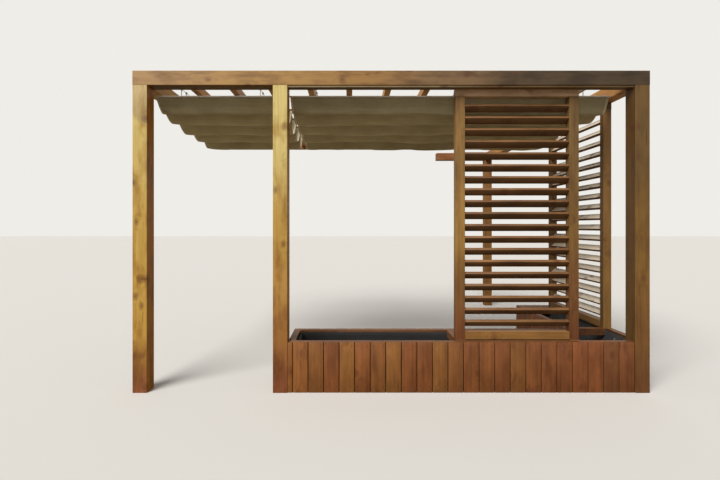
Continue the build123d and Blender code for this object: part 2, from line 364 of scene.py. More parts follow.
def pine(name, along, stops, turned=None, patches=EVEN, axis=None, cousin=None):
    """along is the axis of the grain, and of the stops unless they have their own. One (light, dark)
    pair can stand for the stops. turned is a direction and the colour pair painted on the faces that
    look there, to stand for the light and shade that they get, and cousin is the pair that some boards
    lean to."""
    material, tree, shader = new_material(name)
    place = add(tree, "ShaderNodeTexCoord").outputs
    number = add(tree, "ShaderNodeAttribute", attribute_name="board").outputs["Fac"]
    shift = scaled(tree, BOARD_SHIFT, number)
    shifted = vector(tree, "ADD", place["Object"], shift)
    upright = add(tree, "ShaderNodeMapping", {"Vector": shifted, "Rotation": TURN_TO_GRAIN[along]})
    figure = add(tree, "ShaderNodeGroup", {"Place": upright}, node_tree=pine_figure).outputs

    # The light and the dark colour at this place along the timber
    spot = add(tree, "ShaderNodeSeparateXYZ", [place["Object"]]).outputs[axis or along]
    spot = calc(tree, "MULTIPLY_ADD", figure["Blotch"], STOP_WANDER, spot)
    spot = calc(tree, "SUBTRACT", spot, STOP_WANDER / 2)
    light, dark = (faded(tree, spot, stops, which) for which in (1, 2))
    if cousin:
        lean = remap(tree, number, 0.3, 0.9)
        light = mixed(tree, lean, light, colour(cousin[0]))
        dark = mixed(tree, lean, dark, colour(cousin[1]))

    # How far from light to dark: some for growth rings, more for fibre streaks and most for patches
    streak = remap(tree, figure["Fibre"], 0.35, 0.7)
    tone = calc(tree, "MULTIPLY", figure["Grain"], RING_SHARE)
    tone = calc(tree, "MULTIPLY_ADD", streak, STREAK_SHARE, tone)
    least, most, darkest = patches
    stain = remap(tree, figure["Blotch"], least, most, 0, darkest)
    tone = calc(tree, "ADD", tone, stain, use_clamp=True)
    base = mixed(tree, tone, light, dark)
    # Painted light and shade: faces that look one way take their own pair of colours
    if turned:
        direction, pale, shade = turned
        looks = vector(tree, "DOT_PRODUCT", place["Normal"], direction).outputs["Value"]
        painted_light_and_shade = mixed(tree, tone, colour(pale), colour(shade))
        base = mixed(tree, remap(tree, looks, *FACING), base, painted_light_and_shade)

    # Knots are a dark red-brown and checks nearly black
    knotty = calc(tree, "MULTIPLY", figure["Knot"], KNOT_SHARE)
    base = mixed(tree, knotty, base, colour(KNOT_COLOUR))
    cracked = calc(tree, "MULTIPLY", figure["Check"], CHECK_SHARE)
    base = mixed(tree, cracked, base, colour(CHECK_COLOUR))

    # End grain drinks more oil, so it is darker, and it shows the rings
    normal = add(tree, "ShaderNodeSeparateXYZ", [place["Normal"]])
    ends = calc(tree, "ABSOLUTE", normal.outputs[along])
    end_tone = remap(tree, figure["Rings"], 0, 1, *END_GRAIN)
    value = add(tree, MIX, {0: remap(tree, ends, *FACING), 2: 1.0, 3: end_tone})
    second = calc(tree, "MULTIPLY", number, BOARD_SHUFFLE)
    second = calc(tree, "FRACT", second)
    board_tone = remap(tree, second, 0, 1, 1, 1 - BOARD_TONE)
    value = calc(tree, "MULTIPLY", value, board_tone)
    base = add(tree, "ShaderNodeHueSaturation", {"Value": value, "Color": base})

    rough = remap(tree, tone, 0, 1, *OILED_ROUGH)
    bump = {"Strength": 0.6, "Distance": 0.0006, "Height": figure["Height"]}
    bump = add(tree, "ShaderNodeBump", bump)
    oiled = {"Base Color": base, "Roughness": rough, "Normal": bump, "Specular IOR Level": 0.35}
    feed(tree, shader, oiled)
    return material


# %% [markdown]
# The left posts are golden at the top and turn orange and then red-brown towards the foot. The right
# post is brown all the way. The front beam runs from tan at the left to dark brown at the right, and its
# dark right end is partly its stain and partly painted shade of a tree. Rafters and side beams are lit
# from above and look orange. Faces that look in under the roof carry painted shade, a deeper orange
# brown, and so do the faces of the front beam, the batten and the front slats that look down. The faces
# of the side screen's slats that look up carry painted light, a pale cream. Each timber keeps its own
# grain direction.

# %% Finishes of the frame's timbers
LEFT_POST = [
    (0.03, "#8F5630", "#6C3C1E"), (0.34, "#A0702F", "#7A4E1D"), (0.55, "#BF9642", "#946824"),
    (1.5, "#C7A24D", "#9D7229"), (2.5, "#D7C071", "#AC883C"),
    (2.58, "#BCA267", "#92733F"), (2.85, "#D0B680", "#A6874E"),
]
MIDDLE_POST = [
    (0.05, "#8A4E2C", "#64361A"), (0.6, "#9C6A30", "#764A1D"), (1.0, "#B58944", "#8C6124"),
    (1.5, "#BE9646", "#946A25"), (2.4, "#DAC67C", "#AE8C43"),
]
RIGHT_POST = [
    (0.05, "#6E4422", "#4A2A12"), (0.5, "#7A5228", "#553616"), (1.3, "#815E28", "#5D3E19"),
    (2.4, "#6E5327", "#4E3718"),
]
# Stain and painted shade: the front beam darkens to the right, partly from its stain and partly as
# painted shade of a tree
FRONT_BEAM = [
    (-2.3, "#B38D5C", "#876339"), (-1.2, "#B2894B", "#86602E"), (-0.3, "#9F763E", "#785225"),
    (0.5, "#7F6241", "#5D4327"), (1.4, "#4F3E28", "#362816"), (2.2, "#4B3B27", "#342614"),
]
# Painted light and shade: the batten is made pale for the light its front catches, and darker to the
# right as painted shade
BATTEN = [(0.2, "#F1DFB8", "#CBB489"), (1.0, "#A98F66", "#826B46")]
LEFT_STILE = [
    (0.5, "#7A4724", "#522B12"), (0.9, "#805829", "#583617"), (1.5, "#A57E3E", "#734F23"),
    (2.6, "#93713C", "#664622"),
]
# Painted shade: the right stile is darker than the left one, as the right side of the pergola lies in
# shade
RIGHT_STILE = [
    (0.5, "#70401F", "#4A2710"), (1.0, "#80542A", "#583818"), (1.5, "#85622F", "#5C3F1A"),
    (2.6, "#7A5F34", "#553A1C"),
]
# Stain and painted shade: the planter darkens to the right, partly from its stain and partly as painted
# shade of the plants in front of it
PLANTER = [(-0.5, "#A87034", "#784A20"), (1.0, "#8E5C2B", "#623A19"), (2.2, "#7F4E28", "#573018")]
REDDER = ("#8E522A", "#5F3217")
# Painted light: the faces of the side screen's slats that look up are pale cream, for the light that
# falls on them
PAINTED_LIGHT_ON_SLAT_TOPS = ((-0.707, 0, 0.707), "#E8DAC4", "#CDBBA0")
# Painted shade: the faces of the front slats that look down and out are darker
PAINTED_SHADE_UNDER_SLATS = ((0, -0.707, -0.707), "#7C5B38", "#50361F")
# Painted shade: the faces of the front beam and the batten that look down are darker
PAINTED_SHADE_LOOKING_DOWN = ((0, 0, -1), "#765C34", "#583F1E")
# Painted shade: the faces of the left and middle posts that look right, in under the roof, are a deeper
# orange brown
PAINTED_SHADE_GOLDEN_INSIDE = ((1, 0, 0), "#B87C2D", "#8D5517")
# Painted shade: the faces of the right post and the side stiles that look left, in under the roof, are a
# darker brown
PAINTED_SHADE_BROWN_INSIDE = ((-1, 0, 0), "#66471B", "#482E11")

planter_upright = pine("red-brown oiled pine, upright boards", "Z", PLANTER, axis="X", cousin=REDDER)
front_slat_pine = pine("brown oiled pine, front slats", "X", ("#8C6238", "#5C3A1E"), PAINTED_SHADE_UNDER_SLATS)
side_slat_pine = pine("brown oiled pine, bleached slats", "Y", ("#7C5830", "#54381C"), PAINTED_LIGHT_ON_SLAT_TOPS)
rafters = [name for name in nodes if name.startswith("rafter")]

timbers = [
    (["post_front_left"], "oiled golden pine, left post", "Z", LEFT_POST, PAINTED_SHADE_GOLDEN_INSIDE, PATCHY),
    (["post_front_middle"], "oiled golden pine, middle post", "Z", MIDDLE_POST, PAINTED_SHADE_GOLDEN_INSIDE, PATCHY),
    (["post_front_right"], "brown stained pine, right post", "Z", RIGHT_POST, PAINTED_SHADE_BROWN_INSIDE),
    (["post_rear_right"], "oiled orange pine, rear post", "Z", ("#93672F", "#6A4420")),
    (["beam_front"], "oiled tan pine, front beam", "X", FRONT_BEAM, PAINTED_SHADE_LOOKING_DOWN, PATCHY),
    (["beam_left"], "oiled golden pine, left beam", "Y", ("#C89A4C", "#9A6C2E")),
    (["beam_right"], "oiled orange pine, right beam", "Y", ("#CC9554", "#996533")),
    (["wall_plate", "beam_rear"],
     "oiled red-brown pine, plate and rear beam", "X", ("#9A6434", "#6C401E")),
    (rafters, "oiled pine, rafters", "Y", ("#D39A58", "#9C6634")),
    (["head_batten"], "oiled golden pine, batten", "X", BATTEN, PAINTED_SHADE_LOOKING_DOWN),
    (["front_screen_left_stile"], "brown oiled pine, left stile", "Z", LEFT_STILE),
    (["front_screen_right_stile"], "brown oiled pine, right stile", "Z", RIGHT_STILE),
    # Painted light: the top rail is made pale, for the light that the front beam's shadow keeps off it
    (["front_screen_top_rail"], "brown oiled pine, top rail", "X", ("#DBB895", "#98785B")),
    (["front_screen_bottom_rail"], "brown oiled pine, bottom rail", "X", ("#906531", "#623F1A")),
    (["side_screen_front_stile", "side_screen_rear_stile"],
     "brown oiled pine, side stiles", "Z", ("#8A6531", "#61421E"), PAINTED_SHADE_BROWN_INSIDE),
    (["side_screen_top_rail", "side_screen_bottom_rail"],
     "brown oiled pine, side rails", "Y", ("#86602F", "#5E3F1C")),
    (["planter_rails", "planter_floor"],
     "red-brown oiled pine, along the front", "X", ("#7A4E2A", "#4F2E16")),
    (["planter_ties"], "red-brown oiled pine, along the side", "Y", ("#7A4E2A", "#4F2E16")),
]
dress(["planter_studs"], planter_upright)
for names, *finish in timbers:
    dress(names, pine(*finish))
print("timbers dressed:", 1 + sum(len(row[0]) for row in timbers))

# %% [markdown]
# Slats and boards repeat, so Geometry Nodes make them: one timber is swept along its length, set on each
# point of a line and given a number of its own. The same tree makes the louvres, which lie and are
# tilted, and the rows of planter boards, which stand. A Bevel modifier after it planes the edges of all
# of them at once. The result is kept as a plain mesh.

# %% A row of timbers, as Geometry Nodes
INPUT_KINDS = {float: "NodeSocketFloat", int: "NodeSocketInt", tuple: "NodeSocketVector"}


def new_nodes(name, inputs):
    """An empty Geometry Nodes tree and its inputs, each given as its default value or as its kind."""
    tree = bpy.data.node_groups.new(name, "GeometryNodeTree")
    tree.interface.new_socket("Geometry", in_out="OUTPUT", socket_type="NodeSocketGeometry")
    for label, default in inputs.items():
        if isinstance(default, str):
            tree.interface.new_socket(label, in_out="INPUT", socket_type=default)
        else:
            kind = INPUT_KINDS[type(default)]
            tree.interface.new_socket(label, in_out="INPUT", socket_type=kind).default_value = default
    return tree, add(tree, "NodeGroupInput").outputs


def keep(piece):
    """Makes a piece with modifiers a plain mesh with one finish, and adds it to the frame."""
    depsgraph = bpy.context.evaluated_depsgraph_get()
    evaluated = piece.evaluated_get(depsgraph)
    mesh = bpy.data.meshes.new_from_object(evaluated, preserve_all_data_layers=True, depsgraph=depsgraph)
    finish = mesh.materials[-1]
    mesh.materials.clear()
    mesh.materials.append(finish)
    mesh.polygons.foreach_set("material_index", [0] * len(mesh.polygons))
    piece.modifiers.clear()
    piece.data = mesh
    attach(piece, "root")
    print(piece.name, "has", len(mesh.polygons), "faces of", finish.name)
    return piece


def grow(name, tree, slot=None, plane_edges=0.0, places=(), **values):
    """Runs a tree once, on loose points where it needs them, and keeps its result."""
    mesh = bpy.data.meshes.new(name)
    mesh.from_pydata(places, [], [])
    piece = show(name, mesh)
    modifier = piece.modifiers.new("nodes", "NODES")
    modifier.node_group = tree
    for item in tree.interface.items_tree:
        key = item.name.lower().replace(" ", "_")
        if item.in_out == "INPUT" and key in values:
            modifier[item.identifier] = values[key]
    if plane_edges:
        bevel = piece.modifiers.new("planed edges", "BEVEL")
        bevel.width = plane_edges
        bevel.segments = 2
        bevel.limit_method = "ANGLE"
    return keep(piece)


def finish_row(tree, placed, finish):
    """The last nodes of a tree: what is placed becomes a real mesh with its finish."""
    real = add(tree, "GeometryNodeRealizeInstances", [placed])
    dressed = add(tree, "GeometryNodeSetMaterial", {"Geometry": real, "Material": finish})
    add(tree, "NodeGroupOutput", [dressed])
    return tree


def either_way(tree, most, seed=0):
    """A random vector for each point, up to most either way."""
    limits = {"Min": scaled(tree, most, -1.0), "Max": most, "Seed": seed}
    return add(tree, "FunctionNodeRandomValue", limits, data_type="FLOAT_VECTOR")


def make_timber_row():
    sizes = {
        "Run": (0, 0, 1), "Width": 0.1, "Thickness": 0.02, "Roll": 0.0, "First": (0, 0, 0),
        "Step": (0.1, 0, 0), "Count": 3, "Unevenness": (0, 0, 0), "Wobble": (0, 0, 0), "Seed": 1,
        "Finish": "NodeSocketMaterial",
    }
    tree, size = new_nodes("timber row", sizes)
    line = add(tree, "GeometryNodeCurvePrimitiveLine", {"End": size["Run"]})
    rolled = add(tree, "GeometryNodeSetCurveTilt", {"Curve": line, "Tilt": size["Roll"]})
    section = {"Width": size["Width"], "Height": size["Thickness"]}
    outline = add(tree, "GeometryNodeCurvePrimitiveQuadrilateral", section)
    swept = {"Curve": rolled, "Profile Curve": outline, "Fill Caps": True}
    timber = add(tree, "GeometryNodeCurveToMesh", swept)
    row = {"Count": size["Count"], "Start Location": size["First"], "Offset": size["Step"]}
    points = add(tree, "GeometryNodeMeshLine", row, mode="OFFSET", count_mode="TOTAL")
    nudge = either_way(tree, size["Unevenness"], size["Seed"])
    moved = add(tree, "GeometryNodeSetPosition", {"Geometry": points, "Offset": nudge})
    turn = either_way(tree, size["Wobble"])
    placed = {"Points": moved, "Instance": timber, "Rotation": turn}
    placed = add(tree, "GeometryNodeInstanceOnPoints", placed)
    number = add(tree, "FunctionNodeRandomValue", {"Seed": size["Seed"]}, data_type="FLOAT")
    stored = {"Geometry": placed, "Name": "board", "Value": number.outputs[1]}
    stored = add(tree, "GeometryNodeStoreNamedAttribute", stored, data_type="FLOAT", domain="INSTANCE")
    return finish_row(tree, stored, size["Finish"])


timber_row = make_timber_row()

# %% [markdown]
# Each louvre slat is 72 by 29 mm and leans at 45 degrees, with its outer edge up and its inner edge
# down. Daylight falls in between the slats from above, and nobody can look in from below. The front
# screen's slats run along X, the side screen's along Y. They reach from stile to stile, so their length
# comes from the frame.

# %% Louvre slats
SLAT_WIDE = 0.072
SLAT_THICK = 0.029
SLAT_EDGE = 0.0025
SLAT_TILT = math.radians(45)
SLAT_WOBBLE = math.radians(1.2)
SLAT_COUNT = 19
AXES = (Vector((1, 0, 0)), Vector((0, 1, 0)))


def make_louvres(name, node, axis, wood, seed):
    low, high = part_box(node)
    middle = (low + high) / 2
    reach = (high - low)[1 - axis] / 2  # at 45 degrees, as far up as sideways
    top = high.z - reach
    pitch = (high.z - low.z - 2 * reach) / (SLAT_COUNT - 1)
    run = AXES[axis] * (high - low)[axis]
    first = Vector((middle.x, middle.y, top))
    first[axis] = low[axis]
    louvres = grow(
        name, timber_row, "screen_pine", SLAT_EDGE, run=run, width=SLAT_WIDE, thickness=SLAT_THICK,
        roll=-SLAT_TILT, first=first, step=Vector((0, 0, -pitch)), count=SLAT_COUNT,
        wobble=AXES[axis] * SLAT_WOBBLE, seed=seed, finish=wood,
    )
    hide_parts(node)


make_louvres("front_screen_louvres", "front_screen_slats", 0, front_slat_pine, 3)
make_louvres("side_screen_louvres", "side_screen_slats", 1, side_slat_pine, 4)

# %% [markdown]
# The metal is plain: satin anodised aluminium for the rods, stainless steel for wires and hangers, and
# zinc-plated steel for the fixings. A brushed or drawn surface has fine lines along it. They blur the
# gloss in one direction, so a stretched noise moves the roughness a little. The real lines are far too
# fine to show and are drawn 2 mm wide. Zinc grows dull grey patches instead.

# %% Metals
DULLEST = 0.8  # how bright the dullest lines are beside the brightest
ALONG_X = (8, 500, 500)  # patches per metre, which make lines 2 mm wide
ALONG_Y = (500, 8, 500)
PATCHED = (120, 120, 120)


def metal(name, hex_value, rough, patches_per_metre):
    material, tree, shader = new_material(name)
    place = add(tree, "ShaderNodeTexCoord").outputs["Object"]
    stretched = vector(tree, "MULTIPLY", place, patches_per_metre)
    patches = add(tree, NOISE, {"Vector": stretched, "Scale": 1, "Detail": 2})
    blur = remap(tree, patches, 0.3, 0.7, rough - 0.08, rough + 0.1)
    light = colour(hex_value)
    dull = [DULLEST * v for v in light[:3]] + [1.0]
    tone = mixed(tree, patches, light, dull)
    feed(tree, shader, {"Base Color": tone, "Roughness": blur, "Metallic": 1.0})
    return material


aluminium = metal("satin anodised aluminium", "#E6E2DA", 0.5, ALONG_X)
stainless = metal("drawn stainless steel", "#B9B8B4", 0.3, ALONG_Y)
zinc = metal("zinc-plated steel", "#A9ABA8", 0.45, PATCHED)
brown_screw = metal("brown-coated screw steel", "#6B4A30", 0.5, PATCHED)
dress(["canopy_left_rods", "canopy_right_rods"], aluminium)
dress(["canopy_wires", "canopy_hangers"], stainless)

# %% [markdown]
# Screws, bolts and washers are one shape with other sizes: a round or six-sided head with a hole in it.
# One tree makes the head and sets it on every point that it is given. Half of it is sunk in the timber,
# so that no gap shows under it. The points are worked out from the frame in plain Python, because each
# joint has its own.

# %% Fixing heads, as Geometry Nodes
def make_fixing_heads():
    sizes = {
        "Places": "NodeSocketGeometry", "Facing": (0, 0, 0), "Sides": 12, "Radius": 0.004,
        "Proud": 0.001, "Hole": 0.002, "Hole Depth": 0.001, "Finish": "NodeSocketMaterial",
    }
    tree, size = new_nodes("fixing heads", sizes)
    deep = calc(tree, "MULTIPLY", size["Proud"], 2.0)
    head = {"Vertices": size["Sides"], "Radius": size["Radius"], "Depth": deep}
    head = add(tree, "GeometryNodeMeshCylinder", head).outputs
    rim = {"Mesh": head["Mesh"], "Selection": head["Top"], "Offset Scale": 0.0, "Individual": False}
    rim = add(tree, "GeometryNodeExtrudeMesh", rim).outputs
    share = calc(tree, "DIVIDE", size["Hole"], size["Radius"])
    hole = {"Geometry": rim["Mesh"], "Selection": rim["Top"], "Scale": share}
    hole = add(tree, "GeometryNodeScaleElements", hole)
    down = calc(tree, "MULTIPLY", size["Hole Depth"], -1.0)
    sunk = {"Mesh": hole, "Selection": rim["Top"], "Offset Scale": down, "Individual": False}
    sunk = add(tree, "GeometryNodeExtrudeMesh", sunk)
    placed = {"Points": size["Places"], "Instance": sunk, "Rotation": size["Facing"]}
    placed = add(tree, "GeometryNodeInstanceOnPoints", placed)
    return finish_row(tree, placed, size["Finish"])


fixing_heads = make_fixing_heads()


def facing(axis, side):
    """The turn that points +Z along an axis, 0 for X or 1 for Y, to its low (-1) or high (1) side."""
    quarter = side * math.radians(90)
    return ((0, quarter, 0), (-quarter, 0, 0))[axis]


def fix(name, places, turn, head, finish, slot=None):
    """One piece from fixings that look one way. Their heads are sunk as deep as they stand proud."""
    grow(name, fixing_heads, slot, places=places, facing=turn, finish=finish, **head)


# %% [markdown]
# The planter is clad in upright boards with open joints. Each row is laid from one end with whole
# boards, and the last board is ripped to the width that is left. They sit a hair in or out of line, as
# screwed boards do, and their planed edges catch the light beside each dark joint. Brown-coated screws
# hold every board to the two rails, with two screws at each height, or one where the board is narrow.

# %% Planter boards
BOARD_WIDE = 0.138
BOARD_GAP = 0.007
BOARD_THICK = 0.02
BOARD_PITCH = BOARD_WIDE + BOARD_GAP
BOARD_EDGE = 0.003
BOARD_LOOSE = (0.0003, 0.0003, 0)  # how far a board sits out of line
RIPPED_LEAST = 0.012  # a narrower strip is left out
RIPPED_SEED = 20  # from a row's seed to its ripped board's
SCREW_LEVELS = (0.055, 0.435)  # metres above the ground
SCREW_SPREAD = 0.045  # from a board's middle
NARROW = 0.09  # the widest board with one screw at each level
BOARD_SCREW = dict(radius=0.004, proud=0.0006)
ROWS = {  # the axis that a row runs along, the side that it faces, and a seed
    "front": (0, -1, 11), "back": (0, 1, 12), "rear": (0, 1, 13),
    "left": (1, -1, 14), "outer": (1, 1, 15), "inner": (1, -1, 16),
}


def lay_boards(name, node, axis, seed, count, wide, middle):
    low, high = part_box(node)
    first = (low + high) / 2
    first[axis] = middle
    first.z = low.z
    return grow(
        name, timber_row, "planter_pine", BOARD_EDGE, run=Vector((0, 0, high.z - low.z)), width=wide,
        thickness=BOARD_THICK, roll=axis * math.radians(90), first=first,
        step=AXES[axis] * -BOARD_PITCH, count=count, unevenness=Vector(BOARD_LOOSE), seed=seed,
        finish=planter_upright,
    )


def whole_boards(node, axis):
    """How many whole boards a row has, with a last one that may be a hair short of its gap."""
    low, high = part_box(node)
    return int((high[axis] - low[axis] + 1.1 * BOARD_GAP) / BOARD_PITCH)


def screw_places(node, axis, side, boards):
    """Places of the screws in a row. Each board is its middle and its width."""
    low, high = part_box(node)
    places = []
    for middle, wide in boards:
        for offset in (0,) if wide < NARROW else (-SCREW_SPREAD, SCREW_SPREAD):
            for level in SCREW_LEVELS:
                place = (low if side < 0 else high).copy()
                place.z = level
                place[axis] = middle + offset
                places.append(place)
    return places


for row, (axis, side, seed) in ROWS.items():
    node = f"planter_{row}_boards"
    low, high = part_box(node)
    count = whole_boards(node, axis)
    last = high[axis] - BOARD_WIDE / 2
    boards = [(last - i * BOARD_PITCH, BOARD_WIDE) for i in range(count)]
    cladding = lay_boards(f"planter_{row}_cladding", node, axis, seed, count, BOARD_WIDE, last)
    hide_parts(node)
    ripped = high[axis] - low[axis] - count * BOARD_PITCH
    middle = low[axis] + ripped / 2
    if ripped > RIPPED_LEAST:
        boards.append((middle, ripped))
        lay_boards(f"planter_{row}_ripped_board", node, axis, seed + RIPPED_SEED, 1, ripped, middle)
    places = screw_places(node, axis, side, boards)
    fix(f"planter_{row}_screws", places, facing(1 - axis, side), BOARD_SCREW, brown_screw)
    print(row, "row:", len(boards), "boards, the last", round(1000 * boards[-1][1]), "mm wide")

# %% [markdown]
# The roof is held by heavier fixings. Coach bolts on washers fasten the wall plate. Long structural
# screws go down through the beams into the posts, and through both ends of every rafter. The canopies'
# wires end in a round plate and a pressed sleeve, and a six-sided turnbuckle near the wall pulls each of
# them tight.

# %% Fixings of the roof and the wires
BOLT_FIRST = 0.2625  # metres from the plate's left end
BOLT_PITCH = 0.78
FROM_END = 0.035  # from a timber's end or middle to its screw
WIRE_INSET = 0.25  # from a canopy's side edge to its wire
TURNBUCKLE_BACK = 0.12  # from the wall plate to its middle
WASHER = dict(sides=24, radius=0.015, proud=0.0025, hole=0.011, hole_depth=0.0003)
BOLT = dict(sides=6, radius=0.0098, proud=0.009, hole=0.0075, hole_depth=0.0004)
ROOF_SCREW = dict(radius=0.0055, proud=0.0005, hole=0.0025, hole_depth=0.002)
WIRE_PLATE = dict(sides=20, radius=0.012, proud=0.002, hole=0.006, hole_depth=0.0003)
SLEEVE = dict(radius=0.0048, proud=0.018, hole=0.003, hole_depth=0.001)
TURNBUCKLE = dict(sides=6, radius=0.0075, proud=0.045, hole=0.004, hole_depth=0.002)
FLAT = (0, 0, 0)  # the turn of a head that looks up

plate_low, plate_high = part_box("wall_plate")
bolt_level = (plate_low.z + plate_high.z) / 2
bolt_count = 1 + int((plate_high.x - plate_low.x - 2 * BOLT_FIRST) / BOLT_PITCH)
bolts = [(plate_low.x + BOLT_FIRST + i * BOLT_PITCH, plate_low.y, bolt_level) for i in range(bolt_count)]
to_front, to_back = facing(1, -1), facing(1, 1)
fix("wall_plate_washers", bolts, to_front, WASHER, zinc)
fix("wall_plate_bolts", bolts, to_front, BOLT, zinc)

roof_screws = []
for name in ("post_front_left", "post_front_middle", "post_front_right", "post_rear_right"):
    low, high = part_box(name)
    middle = (low + high) / 2
    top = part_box("beam_rear" if "rear" in name else "beam_front")[1].z
    for sign in (-1, 1):
        roof_screws.append((middle.x + sign * FROM_END, middle.y - sign * FROM_END, top))
for name in rafters:
    low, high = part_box(name)
    for y in (low.y + FROM_END, high.y - FROM_END):
        roof_screws.append(((low.x + high.x) / 2, y, high.z))
fix("roof_screws", roof_screws, FLAT, ROOF_SCREW, zinc)

wire_low, wire_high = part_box("canopy_wires")
wire_level = (wire_low.z + wire_high.z) / 2
wire_places = []
for node in ("canopy_left", "canopy_right"):
    low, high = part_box(node)
    wire_places += [low.x + WIRE_INSET, high.x - WIRE_INSET]


def fix_wires(name, depths, turn, head):
    places = [(x, y, wire_level) for x in wire_places for y in depths]
    fix(name, places, turn, head, stainless, "wire_steel")


fix_wires("wire_plates_front", [wire_low.y], to_back, WIRE_PLATE)
fix_wires("wire_plates_rear", [wire_high.y], to_front, WIRE_PLATE)
sunk = SLEEVE["proud"]
fix_wires("wire_sleeves", [wire_low.y + sunk, wire_high.y - sunk], to_back, SLEEVE)
fix_wires("wire_turnbuckles", [wire_high.y - TURNBUCKLE_BACK], to_back, TURNBUCKLE)

# %% [markdown]
# A canopy is one strip of awning cloth. Rods carry it at six places, and between two rods it hangs in a
# pleat with a round belly. It could be simulated, but the rods fix its line so well that the curve is
# written down: a cubic curve per pleat. What makes it cloth is what departs from that curve. The bellies
# hang a little deeper or shallower from place to place, sway to and fro, pucker below the rods, and lift
# and draw in at the free side edges. A second function turns columns of points into cloth. It also
# serves the hems and the pockets of the rods.

# %% The cloth of the canopies
ROD_PLACES = (0.172, 0.285, 0.59, 0.95, 1.32, 1.56)  # metres behind the front plane
PLEAT_DROPS = (0.157, 0.198, 0.223, 0.227, 0.258)
FLANK = 0.15  # how far a pleat's sides lean in, as a share of its width
SWAY = 0.012
PUCKER = 0.0035
PUCKER_FADE = 0.05  # how far below a rod the puckers reach
HOLD = 0.02  # how far below a rod the cloth becomes free to crease
CREASE = 0.0035
FINE_CREASE = 0.0016
COLUMN_WIDE = 0.02
ROWS_A_PLEAT = 24
CLOTH_THICK = 0.001
HEM_WIDE = 0.022
HEM_THICK = 0.0032
EDGE_LIFT = 0.012
EDGE_FADE = 0.07  # how far from a side edge the cloth draws in

front_plane = cad_box[0].y


def cloth_point(hung, x, pleat, share):
    """A point on the hung cloth, share of the way from one rod to the next. The numbers beside x, pleat
    and share in a noise are its waves per metre and per pleat."""
    low, high, seed, wave, pulls = hung
    near, far = (front_plane + place for place in ROD_PLACES[pleat:pleat + 2])
    width = far - near
    belly = 4 * share * (1 - share)
    place = Vector((x * 2.3, pleat * 3.7, seed))
    drop = PLEAT_DROPS[pleat] * (1 + wave * noise.noise(place) + 0.4 * wave * noise.noise(place * 2.6))
    inner = 3 * (1 - share) ** 2 * share * FLANK + 3 * (1 - share) * share ** 2 * (1 - FLANK)
    y = near + width * (inner + share ** 3)
    z = high.z - drop * belly
    y += SWAY * belly * noise.noise((x * 3.1, pleat * 5.3, seed + 7))

    # Slack below the rods puckers, and the whole cloth carries soft creases
    from_rod = min(share, 1 - share) * width
    hold = min(1, from_rod / HOLD)
    pucker = PUCKER * noise.noise((x * 21, pleat * 2.1, seed + 3))
    pucker *= math.exp(-from_rod / PUCKER_FADE)
    crease = CREASE * noise.noise((x * 4.5, (pleat + share) * 3, seed))
    crease += FINE_CREASE * noise.noise((x * 13 + 9 * share, (pleat + share) * 6, seed + 1))
    y += hold * (pucker + crease) * math.copysign(1, share - 0.5) * (1 - belly ** 2)
    z += hold * crease * belly

    # The side edges hang free, so they lift and draw in
    left = x - low.x < high.x - x
    free = math.exp(-(x - low.x if left else high.x - x) / EDGE_FADE) * belly
    return Vector((x + free * (pulls[0] if left else -pulls[1]), y, z + EDGE_LIFT * free))


def spread(start, end, apart):
    """Even places from start to end, about so far apart."""
    count = max(1, round((end - start) / apart))
    return [start + (end - start) * i / count for i in range(count + 1)]


def cloth_strip(hung, start, end, column_wide):
    """Columns of points from the front rod to the last one, and the place of each across the cloth."""
    across = spread(start, end, column_wide)
    columns = []
    for x in across:
        column = [cloth_point(hung, x, 0, 0.0)]
        for pleat in range(len(PLEAT_DROPS)):
            for step in range(1, ROWS_A_PLEAT + 1):
                column.append(cloth_point(hung, x, pleat, step / ROWS_A_PLEAT))
        columns.append(column)
    return columns, across


def make_cloth(name, strips, thick, finish):
    """One piece from strips of cloth, with a map in metres, and the length of the first strip."""
    points, faces, places, lengths = [], [], [], []
    for columns, across in strips:
        rows = len(columns[0])
        middle = columns[len(columns) // 2]
        along = [0.0]
        for a, b in zip(middle, middle[1:]):
            along.append(along[-1] + (b - a).length)
        lengths.append(along[-1])
        for i in range(len(columns) - 1):
            for j in range(rows - 1):
                corner = len(points) + i * rows + j
                faces.append((corner, corner + rows, corner + rows + 1, corner + 1))
        for column, u in zip(columns, across):
            points += column
            places += [(u, v) for v in along]
    mesh = bpy.data.meshes.new(name)
    mesh.from_pydata(points, [], faces)
    flat_map = mesh.uv_layers.new(name="cloth")
    for loop in mesh.loops:
        flat_map.data[loop.index].uv = places[loop.vertex_index]
    mesh.polygons.foreach_set("use_smooth", [True] * len(faces))
    mesh.materials.append(finish)
    piece = show(name, mesh)
    solid = piece.modifiers.new("thickness", "SOLIDIFY")
    solid.thickness = thick
    solid.offset = 0
    return keep(piece), lengths[0]


# %% [markdown]
# Awning cloth is a tight plain weave of spun acrylic: dull, soft and slightly uneven where thicker yarns
# run across it. The pattern lies on the cloth's own map, in metres, so it follows every pleat. The real
# yarns are 0.6 mm apart and are drawn 4 mm apart, so that they show close up. A little sheen stands for
# the fuzz of the fibres, which catches light at a glancing angle. The cloth is thin enough to glow: some
# of the daylight that falls on it from above soaks in and comes out below.

# %% Awning cloth
YARN = 0.004
SOAK = 0.004  # metres that light soaks into the cloth


